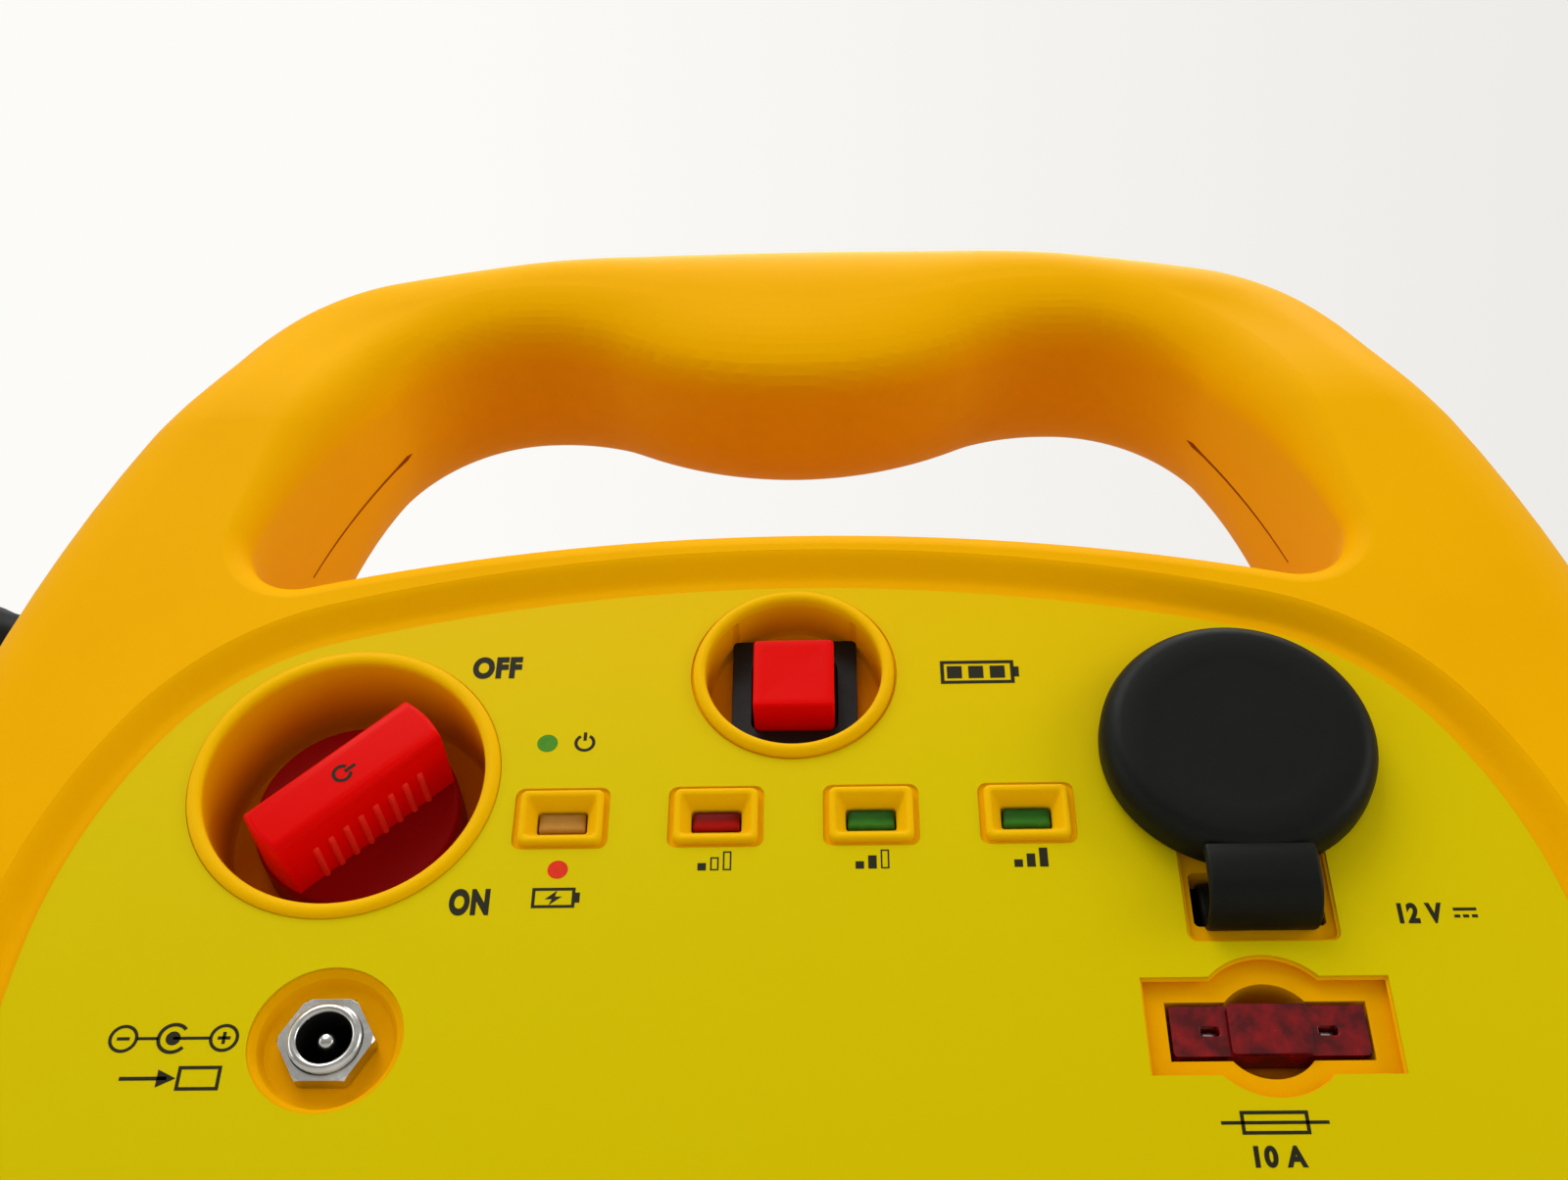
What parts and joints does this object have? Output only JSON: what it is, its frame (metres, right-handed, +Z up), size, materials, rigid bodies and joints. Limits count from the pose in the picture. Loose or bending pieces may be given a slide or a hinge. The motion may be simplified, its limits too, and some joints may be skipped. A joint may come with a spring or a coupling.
{
  "type": "jump starter pack",
  "caption": "Portable jump starter: moulded case with handle, recessed panel with rotary switch, test button, lamps, capped 12 V socket, charging jack and fuse, and parked battery clamps.",
  "frame": {"origin": "on the floor, under the middle of the case's width and depth", "axes": "+X to the viewer's right when facing the panel, +Y from the panel to the back, +Z up"},
  "size_m": [0.2704, 0.1152, 0.2715],
  "materials": {
    "case_plastic": "fine-grained",
    "label_film": "satin",
    "red_plastic": "satin",
    "black_plastic": "satin",
    "black_rubber": "satin",
    "steel": "plated",
    "copper": "bright",
    "amber_lens": "clear",
    "red_lens": "clear",
    "green_lens": "clear",
    "board": "lacquered",
    "ivory_insulator": "plain",
    "fuse_plastic": "clear",
    "grey_battery": "plain",
    "foam": "open-celled",
    "red_insulation": "satin"
  },
  "bodies": {
    "case": {"front_casing": "case_plastic", "rear_casing": "case_plastic", "panel_label": "label_film", "casing_screws": "steel", "rubber_feet": "black_rubber", "power_switch_body": "black_plastic", "switch_studs": "copper", "test_switch_body": "black_plastic", "charge_lens": "amber_lens", "low_lens": "red_lens", "medium_lens": "green_lens", "high_lens": "green_lens", "indicator_board": "board", "board_screws": "steel", "socket_barrel": "steel", "socket_nut": "black_plastic", "socket_insulator": "ivory_insulator", "socket_contact": "copper", "cap_strap": "black_rubber", "jack_body": "black_plastic", "jack_nut": "steel", "jack_pin": "steel", "fuse_holder": "black_plastic", "battery_case": "grey_battery", "battery_terminals": "copper", "battery_strap": "steel", "foam_pads": "foam", "switch_lead": "red_insulation", "battery_lead": "red_insulation", "ground_lead": "black_rubber", "left_gland": "black_rubber", "right_gland": "black_rubber", "left_cable": "black_rubber", "right_cable": "black_rubber", "left_post": "black_plastic", "right_post": "black_plastic", "left_front_lever": "red_plastic", "left_front_jaw": "copper", "left_pin": "steel", "left_spring": "steel", "right_front_lever": "black_plastic", "right_front_jaw": "copper", "right_pin": "steel", "right_spring": "steel"},
    "knob": {"power_knob": "red_plastic", "switch_spindle": "steel"},
    "button": {"test_button_cap": "red_plastic"},
    "cap": {"socket_cap": "black_rubber"},
    "fuse": {"fuse_body": "fuse_plastic", "fuse_blades": "steel"},
    "left_lever": {"left_rear_lever": "red_plastic", "left_rear_jaw": "copper"},
    "right_lever": {"right_rear_lever": "black_plastic", "right_rear_jaw": "copper"}
  },
  "joints": [
    {"name": "knob_turn", "type": "hinge", "parent": "case", "child": "knob", "pos_m": [-0.0499, -0.045, 0.1777], "axis": [0, 1, 0], "range_deg": [0, 90]},
    {"name": "button_press", "type": "slide", "parent": "case", "child": "button", "axis": [0, 1, 0], "range_m": [0, 0.0015], "stiffness_N_per_m": 300, "springref_m": -0.002},
    {"name": "cap_open", "type": "hinge", "parent": "case", "child": "cap", "pos_m": [0.0486, -0.0552, 0.1616], "axis": [1, 0, 0], "range_deg": [0, 100], "deforming": ["cap_strap"]},
    {"name": "fuse_pull", "type": "slide", "parent": "case", "child": "fuse", "axis": [0, -1, 0], "range_m": [0, 0.025]},
    {"name": "left_clamp_open", "type": "hinge", "parent": "case", "child": "left_lever", "pos_m": [-0.116, -0.018, 0.118], "axis": [-1, 0, 0], "range_deg": [0, 15], "stiffness_Nm_per_rad": 1.5, "springref_deg": -20.05, "deforming": ["left_spring"]},
    {"name": "right_clamp_open", "type": "hinge", "parent": "case", "child": "right_lever", "pos_m": [0.116, -0.018, 0.118], "axis": [-1, 0, 0], "range_deg": [0, 15], "stiffness_Nm_per_rad": 1.5, "springref_deg": -20.05, "deforming": ["right_spring"]}
  ]
}
